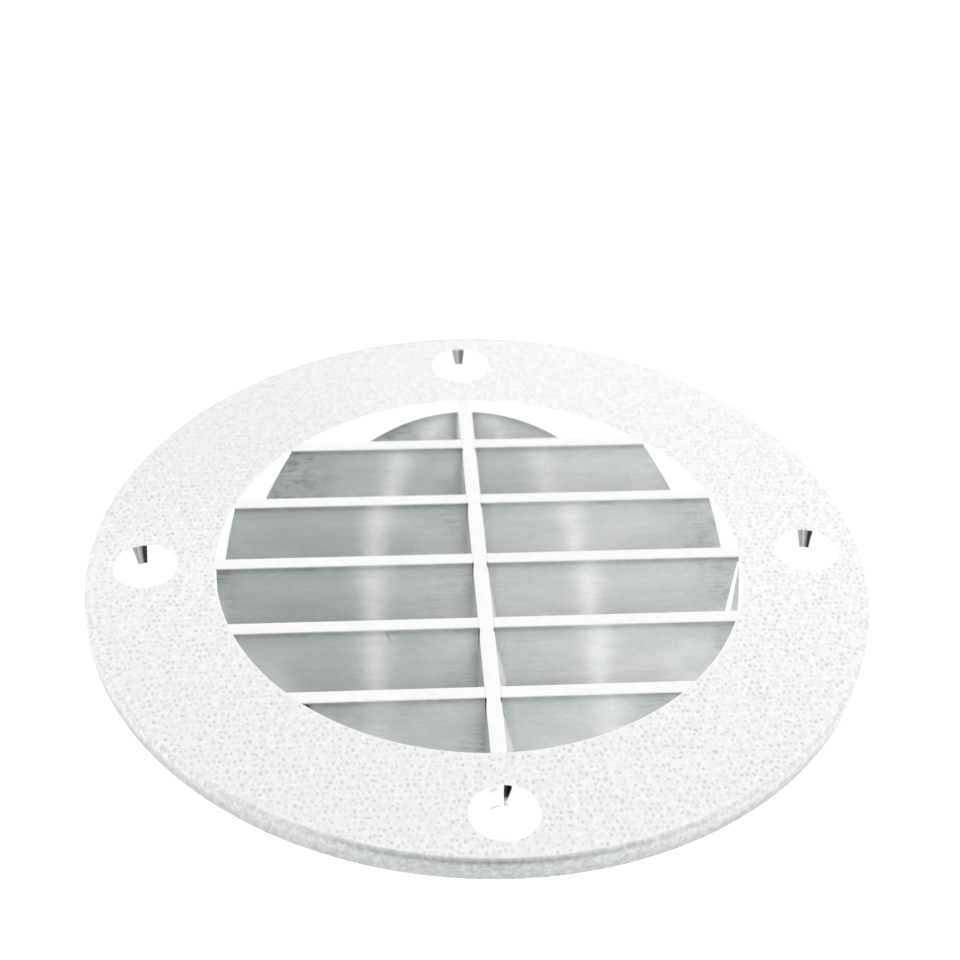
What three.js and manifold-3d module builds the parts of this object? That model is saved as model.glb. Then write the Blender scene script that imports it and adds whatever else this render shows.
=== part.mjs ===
// A round ceiling air diffuser with fixed louvres.
//
// A cast flange lies against the ceiling. A short neck hangs behind it, seated by its lip in the back
// of the flange and held there by small screws. The neck carries six sloping blades in slots in its
// wall, and one mullion crosses them, halved over each blade. A foam gasket seals flange to ceiling.
//
// Lengths are millimetres. The pieces are drawn with z = 0 on the plane of the flange's face, the room
// above it and the duct below, the blades along X and their undersides leaning towards -Y. The
// finished group is lifted so that its origin is the centre of the neck's duct end.

import * as THREE from 'three';
import { mergeVertices } from 'three/addons/utils/BufferGeometryUtils.js';
import Module from 'manifold-3d';

const wasm = await Module();
wasm.setup();

// Driving dimensions: the whole diffuser
const FLANGE_DIAMETER = 150;
const OPENING_DIAMETER = 101.6;
const FLANGE_THICKNESS = 4.4;
const OVERALL_HEIGHT = 30;
const SHEET = 1.2;
const LIP_BEND = 0.5;

// Countersunk holes for the ceiling screws
const CEILING_HOLES = 4;
const CEILING_HOLE_CIRCLE = 128.6;
const CEILING_HOLE_DIAMETER = 7.2;
const COUNTERSINK_DIAMETER = 12.2;

// Louvre blades and mullion
const BLADE_COUNT = 6;
const BLADE_PITCH = 18.1;
const BLADE_LAND = 2.75;
const BLADE_NOSE = 0.6;
const BLADE_DEPTH = 16.5;
const BLADE_SLOPE = THREE.MathUtils.degToRad(45);
const FURTHEST_BLADE_Y = 3 * BLADE_PITCH;
const TENON_LENGTH = 3.5;
const MULLION_WIDTH = 2.9;
const MULLION_NOSE = 1.2;
const MULLION_DEPTH = 9;
const MULLION_LEFT_FLARE = 0.05;
const MULLION_RIGHT_FLARE = 0.33;

// Small screws that hold the neck's lip to the flange
const LIP_SCREWS = 8;
const LIP_SCREW_SIZE = 2.5;
const LIP_SCREW_HEAD_DIAMETER = 4.5;
const LIP_SCREW_HEAD_HEIGHT = 1.5;
const LIP_SCREW_GRIP = 1.9;
const LIP_SCREW_HOLE_PAST_TIP = 0.2;
const SOCKET_ACROSS_CORNERS = 1.8;
const SOCKET_DEPTH = 0.8;

// Gasket
const GASKET_THICKNESS = 2;
const GASKET_INSET = 2.4;
const GASKET_CLEARANCE = 0.8;

// Clearances between neighbours
const SEAT_GAP = 0.05;
const SIDE_GAP = 0.1;

// Facets round a full turn
const WIDE_FACETS = 72;
const HOLE_FACETS = 24;
const SCREW_FACETS = 16;

// Dimensions that follow from those above
const openingRadius = OPENING_DIAMETER / 2;
const neckRadius = openingRadius + SHEET;
const flangeBack = -FLANGE_THICKNESS;
const rebateFloor = flangeBack + SHEET + 2 * SEAT_GAP;
const lipTop = rebateFloor - SEAT_GAP;
const lipBack = lipTop - SHEET;
const lipScrewCircle = neckRadius + LIP_BEND + SIDE_GAP + LIP_SCREW_HEAD_DIAMETER / 2;
const lipRadius = lipScrewCircle + LIP_SCREW_HEAD_DIAMETER / 2 + SIDE_GAP;
const rebateRadius = lipRadius + SIDE_GAP;
const bladeRadius = openingRadius - 1.5 * SIDE_GAP;
const tenonTop = FLANGE_THICKNESS + SHEET + 0.9;
const fullTurn = 2 * Math.PI;

// ---- solids and geometry ----

// The closed solid of a geometry, ready for cutting and joining.
function solidOf(geometry) {
  const bare = geometry.clone();
  bare.deleteAttribute('normal');
  bare.deleteAttribute('uv');
  const merged = mergeVertices(bare, 1e-5);
  const vertProperties = new Float32Array(merged.attributes.position.array);
  const triVerts = new Uint32Array(merged.index.array);
  return new wasm.Manifold(new wasm.Mesh({ numProp: 3, vertProperties, triVerts }));
}

// The geometry of a solid, with flat-shaded faces.
function geometryOf(solid) {
  const { vertProperties, triVerts } = solid.getMesh();
  const geometry = new THREE.BufferGeometry();
  geometry.setAttribute('position', new THREE.BufferAttribute(vertProperties, 3));
  geometry.setIndex(new THREE.BufferAttribute(triVerts, 1));
  geometry.computeVertexNormals();
  return geometry;
}

// Turns an outline of (radius, z) points about the Z axis; the outer side runs upwards.
function revolve(outline, facets) {
  const points = outline.map(([radius, z]) => new THREE.Vector2(radius, z));
  return solidOf(new THREE.LatheGeometry(points, facets).rotateX(Math.PI / 2));
}

// A disc or rod on the Z axis between two heights.
function rod(radius, low, high, facets) {
  const geometry = new THREE.CylinderGeometry(radius, radius, high - low, facets);
  return solidOf(geometry.rotateX(Math.PI / 2).translate(0, 0, (low + high) / 2));
}

// Pushes an outline of (y, z) points along X, the same distance each way.
function pushAlongX(outline, halfLength) {
  const shape = new THREE.Shape(outline.map(([y, z]) => new THREE.Vector2(y, z)));
  const geometry = new THREE.ExtrudeGeometry(shape, { depth: 2 * halfLength, bevelEnabled: false });
  const [x, y, z] = [0, 1, 2].map((axis) => new THREE.Vector3().setComponent(axis, 1));
  geometry.translate(0, 0, -halfLength).applyMatrix4(new THREE.Matrix4().makeBasis(y, z, x));
  return solidOf(geometry);
}

// Pushes an outline of (x, z) points along Y, the same distance each way.
function pushAlongY(outline, halfLength) {
  const shape = new THREE.Shape(outline.map(([x, z]) => new THREE.Vector2(x, z)));
  const geometry = new THREE.ExtrudeGeometry(shape, { depth: 2 * halfLength, bevelEnabled: false });
  return solidOf(geometry.translate(0, 0, -halfLength).rotateX(Math.PI / 2));
}

// Points along part of an ellipse in the (radius, z) plane; angles are in degrees.
function arc(centreR, centreZ, sizeR, sizeZ, from, to, steps) {
  return Array.from({ length: steps + 1 }, (_, i) => {
    const angle = THREE.MathUtils.degToRad(from + ((to - from) * i) / steps);
    return [centreR + sizeR * Math.cos(angle), centreZ + sizeZ * Math.sin(angle)];
  });
}

// Copies of a solid evenly spaced on a circle about the Z axis, the first one at the start angle.
function copiesRound(solid, count, radius, start) {
  return Array.from({ length: count }, (_, i) => {
    const angle = start + (fullTurn * i) / count;
    return solid.translate([radius * Math.cos(angle), radius * Math.sin(angle), 0]);
  });
}

// Copies of a solid at the places of the lip screws, which lie between the ceiling holes.
function atLipScrews(solid) {
  return copiesRound(solid, LIP_SCREWS, lipScrewCircle, fullTurn / LIP_SCREWS / 2);
}

// Cuts every tool out of a solid.
function cutAll(solid, tools) {
  return tools.reduce((rest, tool) => rest.subtract(tool), solid);
}

// ---- flange and gasket ----

// The room-side ring: a bullnosed rim, a crisp opening, and a rebate behind for the neck's lip.
function flangeBlank() {
  const edge = 0.25;
  const rim = { width: 1.1, drop: 0.7, backRound: 0.5 };
  const rimRadius = FLANGE_DIAMETER / 2;
  const backCorner = arc(rimRadius - rim.backRound, flangeBack + rim.backRound,
    rim.backRound, rim.backRound, -90, 0, 2);
  const nose = arc(rimRadius - rim.width, -rim.drop, rim.width, rim.drop, 0, 90, 4);
  const openingEdge = arc(openingRadius + edge, -edge, edge, edge, 90, 180, 2);
  const rebate = [
    [openingRadius, rebateFloor],
    [rebateRadius, rebateFloor],
    [rebateRadius, flangeBack],
  ];
  const outline = [...rebate, ...backCorner, ...nose, ...openingEdge];
  return revolve([...outline, outline[0]], WIDE_FACETS);
}

// One countersunk ceiling-screw hole, running out past both sides of the flange.
function ceilingHole() {
  const past = 0.5;
  const holeRadius = CEILING_HOLE_DIAMETER / 2;
  const sinkRadius = COUNTERSINK_DIAMETER / 2;
  const sinkDepth = sinkRadius - holeRadius;
  return revolve([
    [0, flangeBack - past],
    [holeRadius, flangeBack - past],
    [holeRadius, -sinkDepth],
    [sinkRadius + past, past],
    [0, past],
  ], HOLE_FACETS);
}

function faceFlange() {
  const tappedEnd = lipTop + LIP_SCREW_GRIP + LIP_SCREW_HOLE_PAST_TIP;
  const tappedHole = rod(LIP_SCREW_SIZE / 2, lipTop, tappedEnd, SCREW_FACETS);
  return cutAll(flangeBlank(), [
    ...copiesRound(ceilingHole(), CEILING_HOLES, CEILING_HOLE_CIRCLE / 2, 0),
    ...atLipScrews(tappedHole),
  ]);
}

// A flat foam ring behind the flange, wide enough to surround the ceiling screws.
function flangeGasket() {
  const top = flangeBack - SEAT_GAP;
  const back = top - GASKET_THICKNESS;
  const past = 1;
  const ring = rod(FLANGE_DIAMETER / 2 - GASKET_INSET, back, top, WIDE_FACETS)
    .subtract(rod(rebateRadius + GASKET_CLEARANCE, back - past, top + past, WIDE_FACETS));
  const holeRadius = CEILING_HOLE_DIAMETER / 2 + GASKET_CLEARANCE;
  const hole = rod(holeRadius, back - past, top + past, HOLE_FACETS);
  return cutAll(ring, copiesRound(hole, CEILING_HOLES, CEILING_HOLE_CIRCLE / 2, 0));
}

// ---- blades ----

// Blade 1 is the furthest one, part hidden behind the opening's edge; blade 6 is the nearest.
function bladeY(index) {
  return FURTHEST_BLADE_Y - index * BLADE_PITCH;
}

// The middle of a blade's sloping web at a depth below the face.
function webY(centreY, depth) {
  return centreY - (depth - BLADE_NOSE) / Math.tan(BLADE_SLOPE);
}

// The web between two depths, as an outline of (y, z) points, grown by a clearance.
function webOutline(centreY, top, bottom, clearance) {
  const half = BLADE_LAND / 2 + clearance / Math.sin(BLADE_SLOPE);
  const upper = top - clearance;
  const lower = bottom + clearance;
  return [
    [webY(centreY, upper) + half, -upper],
    [webY(centreY, upper) - half, -upper],
    [webY(centreY, lower) - half, -lower],
    [webY(centreY, lower) + half, -lower],
  ];
}

// A blade's whole section: a short upright nose that ends in the front land, and the web.
function bladeOutline(centreY) {
  const half = BLADE_LAND / 2;
  const [, ...web] = webOutline(centreY, BLADE_NOSE, BLADE_DEPTH, 0);
  return [[centreY + half, -BLADE_NOSE], [centreY + half, 0], [centreY - half, 0], ...web];
}

// The depth at which a blade's tenons start: just under the lip, or, on the furthest blade, where
// its web has come far enough in from the wall.
function tenonStart(index) {
  return index === 0 ? BLADE_DEPTH - 1.5 * TENON_LENGTH : tenonTop;
}

// The bar that pierces the neck's wall at both ends of a blade; a clearance makes the slot for it.
function tenonBar(index, clearance) {
  const start = tenonStart(index);
  const outline = webOutline(bladeY(index), start, start + TENON_LENGTH, clearance);
  return pushAlongX(outline, neckRadius + 1);
}

// How deep a blade is notched for the mullion: half the mullion's depth, so that each is halved over
// the other, or all of it on the furthest blade, where the mullion runs through to the wall.
function notchDepth(index) {
  return index === 0 ? MULLION_DEPTH : MULLION_DEPTH / 2;
}

function louvreBlade(index) {
  const blade = pushAlongX(bladeOutline(bladeY(index)), openingRadius)
    .intersect(rod(bladeRadius, -OVERALL_HEIGHT, 1, WIDE_FACETS));
  const tenons = tenonBar(index, 0).intersect(rod(neckRadius, -OVERALL_HEIGHT, 1, WIDE_FACETS));
  return blade.add(tenons).subtract(mullionBar(SIDE_GAP, 1, notchDepth(index) + SEAT_GAP));
}

// ---- mullion ----

// A bar along Y with an upright nose, then sides that flare towards the duct, the right one further.
function mullionBar(clearance, top, depth) {
  const half = MULLION_WIDTH / 2 + clearance;
  const flared = depth - MULLION_NOSE;
  return pushAlongY([
    [half, top],
    [-half, top],
    [-half, -MULLION_NOSE],
    [-half - MULLION_LEFT_FLARE * flared, -depth],
    [half + MULLION_RIGHT_FLARE * flared, -depth],
    [half, -MULLION_NOSE],
  ], openingRadius);
}

// The bar that pierces the neck's wall at both ends of the mullion.
function mullionTenon(clearance) {
  const half = MULLION_WIDTH / 2 + clearance;
  const top = -tenonTop + clearance;
  const bottom = -MULLION_DEPTH - clearance;
  return pushAlongY([[half, top], [-half, top], [-half, bottom], [half, bottom]], neckRadius + 1);
}

function mullion() {
  const slots = Array.from({ length: BLADE_COUNT - 1 }, (_, i) => {
    const outline = webOutline(bladeY(i + 1), notchDepth(i + 1), MULLION_DEPTH + 1, SIDE_GAP);
    return pushAlongX(outline, MULLION_DEPTH);
  });
  const bar = mullionBar(0, 0, MULLION_DEPTH).intersect(rod(bladeRadius, -OVERALL_HEIGHT, 1, WIDE_FACETS));
  const tenons = mullionTenon(0).intersect(rod(neckRadius, -OVERALL_HEIGHT, 1, WIDE_FACETS));
  return cutAll(bar.add(tenons), slots);
}

// ---- neck ----

// The neck's sheet: a turned lip, a straight wall and a rolled bead that stops a duct slipping off.
function neckBlank() {
  const bead = { radius: 1.2, z: -OVERALL_HEIGHT + 4.5 };
  const end = -OVERALL_HEIGHT;
  const innerBead = arc(openingRadius, bead.z, bead.radius, bead.radius, 90, -90, 4);
  const outerBead = arc(neckRadius, bead.z, bead.radius, bead.radius, -90, 90, 4);
  const underLip = arc(neckRadius + LIP_BEND, lipBack - LIP_BEND, LIP_BEND, LIP_BEND, 180, 90, 2);
  const outline = [
    [openingRadius, lipTop],
    ...innerBead,
    [openingRadius, end],
    [neckRadius, end],
    ...outerBead,
    ...underLip,
    [lipRadius, lipBack],
    [lipRadius, lipTop],
  ];
  return revolve([...outline, outline[0]], WIDE_FACETS);
}

function neckSleeve() {
  const bladeSlots = Array.from({ length: BLADE_COUNT }, (_, index) => tenonBar(index, SIDE_GAP));
  const screwHole = rod(LIP_SCREW_SIZE / 2 + SIDE_GAP, lipBack - 1, lipTop + 1, SCREW_FACETS);
  return cutAll(neckBlank(), [
    ...bladeSlots,
    mullionTenon(SIDE_GAP),
    ...atLipScrews(screwHole),
  ]);
}

// ---- lip screws ----

// A pan-head screw standing on the Z axis, its head under the lip and its tip in the flange.
function lipScrew() {
  const shank = LIP_SCREW_SIZE / 2 - 2 * SIDE_GAP;
  const headTop = lipBack - SEAT_GAP;
  const headFace = headTop - LIP_SCREW_HEAD_HEIGHT;
  const crown = LIP_SCREW_HEAD_HEIGHT / 2;
  const tip = lipTop + LIP_SCREW_GRIP;
  const chamfer = 0.4;
  const headRadius = LIP_SCREW_HEAD_DIAMETER / 2;
  const blank = revolve([
    [0, headFace],
    ...arc(headRadius - crown, headFace + crown, crown, crown, -90, 0, 3),
    [headRadius, headTop],
    [shank, headTop],
    [shank, tip - chamfer],
    [shank - chamfer, tip],
    [0, tip],
  ], SCREW_FACETS);
  return blank.subtract(rod(SOCKET_ACROSS_CORNERS / 2, headFace - 1, headFace + SOCKET_DEPTH, 6));
}

// ---- assembly ----

const finishes = {
  castMetal: { color: 0xe4e5e3, roughness: 0.35, metalness: 0.9 },
  brushedMetal: { color: 0xb4bab9, roughness: 0.4, metalness: 0.95 },
  satinMetal: { color: 0xe9e9e6, roughness: 0.3, metalness: 0.8 },
  sleeveMetal: { color: 0xdcdddb, roughness: 0.3, metalness: 0.9 },
  screwSteel: { color: 0x9fa3a4, roughness: 0.3, metalness: 1 },
  foam: { color: 0x2b2c2d, roughness: 0.95, metalness: 0 },
};

const diffuser = new THREE.Group();

// Adds one piece to the diffuser as its own named mesh with its own material.
function place(name, solid, finish) {
  const mesh = new THREE.Mesh(geometryOf(solid), new THREE.MeshStandardMaterial(finishes[finish]));
  mesh.name = name;
  diffuser.add(mesh);
}

place('face_flange', faceFlange(), 'castMetal');
place('flange_gasket', flangeGasket(), 'foam');
place('neck_sleeve', neckSleeve(), 'sleeveMetal');
place('mullion', mullion(), 'satinMetal');
for (let index = 0; index < BLADE_COUNT; index += 1) {
  place(`louvre_blade_${index + 1}`, louvreBlade(index), 'brushedMetal');
}
atLipScrews(lipScrew()).forEach((screw, i) => {
  place(`lip_screw_${i + 1}`, screw, 'screwSteel');
});

diffuser.position.z = OVERALL_HEIGHT;

export default diffuser;
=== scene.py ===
"""The looks of a round louvred ceiling air diffuser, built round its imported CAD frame.

Lengths are metres in the CAD's own frame: +Z is the room side, the louvre blades run along X and the
mullion along Y. Small dimensions are written in millimetres and multiplied by MM.
"""

import math

import bmesh
import bpy
import numpy as np
from mathutils import Matrix, Vector, geometry, kdtree, noise


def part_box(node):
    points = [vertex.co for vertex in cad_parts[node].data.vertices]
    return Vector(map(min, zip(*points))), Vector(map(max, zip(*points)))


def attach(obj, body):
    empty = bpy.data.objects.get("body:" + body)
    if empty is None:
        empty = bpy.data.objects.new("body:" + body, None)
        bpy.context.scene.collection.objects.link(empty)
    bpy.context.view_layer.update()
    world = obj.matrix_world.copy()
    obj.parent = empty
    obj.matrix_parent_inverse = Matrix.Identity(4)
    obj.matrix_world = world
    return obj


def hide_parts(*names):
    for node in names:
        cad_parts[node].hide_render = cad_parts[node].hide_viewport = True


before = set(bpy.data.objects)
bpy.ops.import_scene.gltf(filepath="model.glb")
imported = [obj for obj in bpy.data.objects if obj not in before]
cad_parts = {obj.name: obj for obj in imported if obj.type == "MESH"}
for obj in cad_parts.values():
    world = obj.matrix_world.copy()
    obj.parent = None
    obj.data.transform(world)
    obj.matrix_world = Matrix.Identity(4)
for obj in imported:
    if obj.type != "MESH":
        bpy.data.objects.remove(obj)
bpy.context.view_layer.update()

MM = 0.001
TURN = 2 * math.pi
NEAR = 1e-6

# ---- dimensions read from the frame ----

flange_low, flange_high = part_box("face_flange")
neck_low, neck_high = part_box("neck_sleeve")
mullion_low, mullion_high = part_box("mullion")
gasket_low, gasket_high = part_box("flange_gasket")

FACE_Z = flange_high.z
BACK_Z = flange_low.z
RIM_RADIUS = flange_high.x
NECK_RADIUS = mullion_high.y
LIP_RADIUS = neck_high.x
BLADES = [f"louvre_blade_{i}" for i in range(1, 7)]
LIP_SCREWS = [f"lip_screw_{i}" for i in range(1, 9)]

# ---- dimensions the boxes don't give ----

SHEET = 1.2 * MM
SEAT_GAP = 0.01 * MM
SIDE_GAP = 0.01 * MM
JOINT_GAP = 0.005 * MM
OPENING_RADIUS = NECK_RADIUS - SHEET
REBATE_RADIUS = LIP_RADIUS + 0.1 * MM
REBATE_FLOOR_Z = neck_high.z + SEAT_GAP
CEILING_HOLES = 4
HOLE_CIRCLE_RADIUS = 64.3 * MM
HOLE_RADIUS = 3.6 * MM
COUNTERSINK_RADIUS = 6.05 * MM
SINK_DEPTH = COUNTERSINK_RADIUS - HOLE_RADIUS
TAPPED_RADIUS = 1.25 * MM
PAST_SCREW_TIP = 0.2 * MM
RIM_NOSE = (1.1 * MM, 0.7 * MM)
BACK_ROUND = 0.5 * MM
OPENING_EDGE = 0.14 * MM
RIM_GROWTH = 0.2 * MM
LOBES = 3
LOBE_HEIGHT = 0.38 * MM
LOBE_ANGLE = math.radians(-51)

LAND = 2.75 * MM
BLADE_NOSE = 0.6 * MM
BLADE_DEPTH = FACE_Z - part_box("louvre_blade_4")[0].z
BLADE_PITCH = (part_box("louvre_blade_2")[1].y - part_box("louvre_blade_6")[1].y) / 4
SECOND_BLADE_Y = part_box("louvre_blade_2")[1].y - LAND / 2
BEADED_BLADE = 3
BEAD_LEAN = 3.1 * MM
BEAD_RADIUS = 0.62 * MM
TENON_LENGTH = 3.5 * MM
TENON_TOP = FACE_Z - BACK_Z + SHEET + 0.9 * MM
MULLION_HALF_WIDTH = 1.45 * MM
MULLION_NOSE = 1.2 * MM
MULLION_DEPTH = FACE_Z - mullion_low.z
MULLION_FLARES = (0.05, 0.33)
FLARE_FADE = (-32.0 * MM, 27.0 * MM)
FLARE_LEFT_OVER = 0.15

# Two painted highlight bands on the blades.
SHEEN_OFFSET = 20.8 * MM
SHEEN_END = 55.0 * MM
SHEEN_REACH = (-40.0 * MM, 50.0 * MM)
SHEEN_LEFT = [(0.0, 0.15), (0.17, 0.4), (0.37, 0.4), (0.57, 0.45), (0.77, 0.38), (1.0, 0.28)]
SHEEN_RIGHT = [(0.0, 0.15), (0.17, 0.26), (0.37, 0.3), (0.57, 0.27), (0.77, 0.18), (1.0, 0.2)]

ROUND = 256
SMALL_ROUND = 64
SCREW_ROUND = 32


# ---- meshes ----

def mesh_object(name, vertices, faces):
    """A new object in the scene from lists of points and faces."""
    mesh = bpy.data.meshes.new(name)
    mesh.from_pydata([tuple(v) for v in vertices], [], [tuple(f) for f in faces])
    mesh.validate()
    obj = bpy.data.objects.new(name, mesh)
    bpy.context.scene.collection.objects.link(obj)
    return obj


def arc(centre, size, start, end, steps):
    """Points along part of an ellipse; angles are in degrees."""
    angles = [math.radians(start + (end - start) * i / steps) for i in range(steps + 1)]
    return [(centre[0] + size[0] * math.cos(a), centre[1] + size[1] * math.sin(a)) for a in angles]


def soften(outline, radius, steps=3):
    """The outline with each corner replaced by a short curve."""
    rounded = []
    for i, corner in enumerate(outline):
        corner = Vector(corner)
        before = corner + (Vector(outline[i - 1]) - corner).normalized() * radius
        after = corner + (Vector(outline[(i + 1) % len(outline)]) - corner).normalized() * radius
        for k in range(steps + 1):
            t = k / steps
            rounded.append((1 - t) ** 2 * before + 2 * t * (1 - t) * corner + t * t * after)
    return [tuple(p) for p in rounded]


def revolve(name, outline, segments):
    """Turns a closed outline of (radius, z) points about Z; its outer side runs upwards."""
    vertices, rings = [], []
    for radius, z in outline:
        if radius < NEAR:
            rings.append([len(vertices)] * segments)
            vertices.append((0, 0, z))
            continue
        rings.append(list(range(len(vertices), len(vertices) + segments)))
        for k in range(segments):
            angle = TURN * k / segments
            vertices.append((radius * math.cos(angle), radius * math.sin(angle), z))
    faces = []
    for ring, above in zip(rings, rings[1:] + rings[:1]):
        for k in range(segments):
            n = (k + 1) % segments
            corners = dict.fromkeys((ring[k], ring[n], above[n], above[k]))
            if len(corners) > 2:
                faces.append(tuple(corners))
    return mesh_object(name, vertices, faces)


def rod(name, radius, low, high, segments=SMALL_ROUND, place=(0, 0)):
    """A plain rod along Z, used as a cutting tool."""
    tool = revolve(name, [(0, low), (radius, low), (radius, high), (0, high)], segments)
    tool.data.transform(Matrix.Translation((*place, 0)))
    return tool


def prism(name, outline, direction, half_length, stations=2):
    """Pushes an outline the same distance each way along X or Y, in several steps.

    The outline's points are (y, z) for X and (x, z) for Y.
    """
    vertices, faces = [], []
    count = len(outline)
    for s in range(stations):
        along = half_length * (2 * s / (stations - 1) - 1)
        for across, z in outline:
            vertices.append((along, across, z) if direction == "X" else (across, along, z))
    for s in range(stations - 1):
        for k in range(count):
            n = (k + 1) % count
            a, b = s * count, (s + 1) * count
            faces.append((a + k, a + n, b + n, b + k))
    faces.append(tuple(reversed(range(count))))
    faces.append(tuple((stations - 1) * count + k for k in range(count)))
    return mesh_object(name, vertices, faces)


def outward(obj):
    """Turns the faces of a closed mesh outwards."""
    work = bmesh.new()
    work.from_mesh(obj.data)
    bmesh.ops.recalc_face_normals(work, faces=work.faces)
    work.to_mesh(obj.data)
    work.free()
    return obj


def combine(target, operation, tools):
    """Applies one boolean after another to the target and removes the tools."""
    for tool in tools:
        outward(tool)
        modifier = target.modifiers.new("combine", "BOOLEAN")
        modifier.operation = operation
        modifier.solver = "MANIFOLD"
        modifier.object = tool
        graph = bpy.context.evaluated_depsgraph_get()
        mesh = bpy.data.meshes.new_from_object(target.evaluated_get(graph))
        target.modifiers.clear()
        target.data = mesh
        bpy.data.objects.remove(tool)


def smooth(obj, degrees=35):
    """Shades the object smoothly, apart from edges sharper than the angle."""
    obj.data.shade_smooth()
    obj.data.set_sharp_from_angle(angle=math.radians(degrees))


def around(radius, count):
    """(x, y) places spaced evenly on a circle."""
    angles = [TURN * k / count for k in range(count)]
    return [(radius * math.cos(a), radius * math.sin(a)) for a in angles]


def screw_place(name):
    """The (x, y) place of one lip screw."""
    low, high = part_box(name)
    return (low.x + high.x) / 2, (low.y + high.y) / 2


def dress(obj, name, materials, node):
    """Gives a finished piece its name and materials, and lets it stand for its CAD node."""
    obj.name = name
    obj.data.name = name
    obj.data.materials.clear()
    for material in materials:
        obj.data.materials.append(material)
    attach(obj, "root")
    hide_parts(node)


# ---- materials ----

class Field:
    """A number that varies over a surface, with ordinary arithmetic."""

    def __init__(self, nodes, socket):
        self.nodes = nodes
        self.socket = socket

    def math(self, operation, other=0.0):
        node = self.nodes.add("ShaderNodeMath", operation=operation)
        self.nodes.put(self, node.inputs[0])
        self.nodes.put(other, node.inputs[1])
        return Field(self.nodes, node.outputs[0])

    def __add__(self, other):
        return self.math("ADD", other)

    def __sub__(self, other):
        return self.math("SUBTRACT", other)

    def __mul__(self, other):
        return self.math("MULTIPLY", other)

    def __truediv__(self, other):
        return self.math("DIVIDE", other)

    def __pow__(self, other):
        return self.math("POWER", other)

    def __abs__(self):
        return self.math("ABSOLUTE")

    def opposite(self):
        """1 where the value is 0, and 0 where it is 1."""
        return self * -1.0 + 1.0

    def changed(self, share):
        """The value made larger by a share of itself, or smaller where the share is negative."""
        return self * (share + 1.0)

    def span(self, low, high, to_low=0.0, to_high=1.0, smooth=False):
        """Maps the value from one range to another, held at the ends."""
        kind = "SMOOTHSTEP" if smooth else "LINEAR"
        node = self.nodes.add("ShaderNodeMapRange", interpolation_type=kind)
        for value, key in ((self, "Value"), (low, "From Min"), (high, "From Max"),
                           (to_low, "To Min"), (to_high, "To Max")):
            self.nodes.put(value, node.inputs[key])
        return Field(self.nodes, node.outputs[0])

    def bell(self, centre, width):
        """1 at the centre, falling smoothly to either side."""
        offset = (self - centre) / width
        return (offset * offset * -1.0).math("EXPONENT")

    def ramp(self, stops):
        """The value looked up between (spot, level) stops that run from 0 to 1."""
        node = self.nodes.add("ShaderNodeValToRGB")
        self.nodes.put(self, node.inputs[0])
        elements = node.color_ramp.elements
        while len(elements) < len(stops):
            elements.new(0.5)
        for element, (spot, level) in zip(elements, stops):
            element.position = spot
            element.color = (level, level, level, 1)
        return Field(self.nodes, node.outputs[0])


class Nodes:
    """Adds and links the nodes of one material or world."""

    def __init__(self, tree):
        self.tree = tree

    def add(self, kind, **settings):
        node = self.tree.nodes.new(kind)
        for key, value in settings.items():
            setattr(node, key, value)
        return node

    def put(self, value, socket):
        """Links a field or an output to a socket, or sets the socket's value."""
        if isinstance(value, Field):
            value = value.socket
        if isinstance(value, bpy.types.NodeSocket):
            self.tree.links.new(value, socket)
        else:
            socket.default_value = value

    def axes(self, vector):
        """The x, y and z of a vector output."""
        node = self.add("ShaderNodeSeparateXYZ")
        self.put(vector, node.inputs[0])
        return [Field(self, output) for output in node.outputs]

    def ray(self, kind):
        """1 for rays of one kind, such as Camera or Glossy, and 0 for the others."""
        return Field(self, self.add("ShaderNodeLightPath").outputs[f"Is {kind} Ray"])

    def tinted(self, tone, tint=(1.0, 1.0, 1.0)):
        """A colour of the given brightness."""
        node = self.add("ShaderNodeCombineColor")
        for socket, part in zip(node.inputs, tint):
            self.put(tone * part, socket)
        return node.outputs[0]


class Shader(Nodes):
    """One material, with its patterns laid out in the object's own coordinates."""

    def __init__(self, name):
        self.material = bpy.data.materials.new(name)
        self.material.use_nodes = True
        super().__init__(self.material.node_tree)
        self.surface = self.tree.nodes["Principled BSDF"]
        self.place = self.add("ShaderNodeTexCoord").outputs["Object"]

    def stored(self, name):
        """A number stored on the mesh's points."""
        return Field(self, self.add("ShaderNodeAttribute", attribute_name=name).outputs["Fac"])

    def noise(self, scale, detail=4.0, roughness=0.55):
        """Cloudy noise; the scale is in cycles per metre, one number or one for each axis."""
        mapping = self.add("ShaderNodeMapping")
        self.put(self.place, mapping.inputs["Vector"])
        mapping.inputs["Scale"].default_value = scale if isinstance(scale, tuple) else (scale,) * 3
        node = self.add("ShaderNodeTexNoise")
        self.put(mapping.outputs[0], node.inputs["Vector"])
        node.inputs["Scale"].default_value = 1.0
        node.inputs["Detail"].default_value = detail
        node.inputs["Roughness"].default_value = roughness
        return Field(self, node.outputs["Fac"])

    def bump(self, height, strength, distance):
        node = self.add("ShaderNodeBump")
        node.inputs["Strength"].default_value = strength
        node.inputs["Distance"].default_value = distance
        self.put(height, node.inputs["Height"])
        self.put(node.outputs[0], self.surface.inputs["Normal"])

    def finish(self, **values):
        """Sets the surface's inputs by name and hands the material back."""
        for key, value in values.items():
            self.put(value, self.surface.inputs[key.replace("_", " ").title()])
        return self.material

    def shine(self, **values):
        """Makes the whole surface a plain light and hands the material back."""
        node = self.add("ShaderNodeEmission")
        for key, value in values.items():
            self.put(value, node.inputs[key.title()])
        self.put(node.outputs[0], self.tree.nodes["Material Output"].inputs["Surface"])
        return self.material


def from_axis(x, y):
    """The distance from the part's axis, as a field."""
    return (x * x + y * y) ** 0.5
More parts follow.
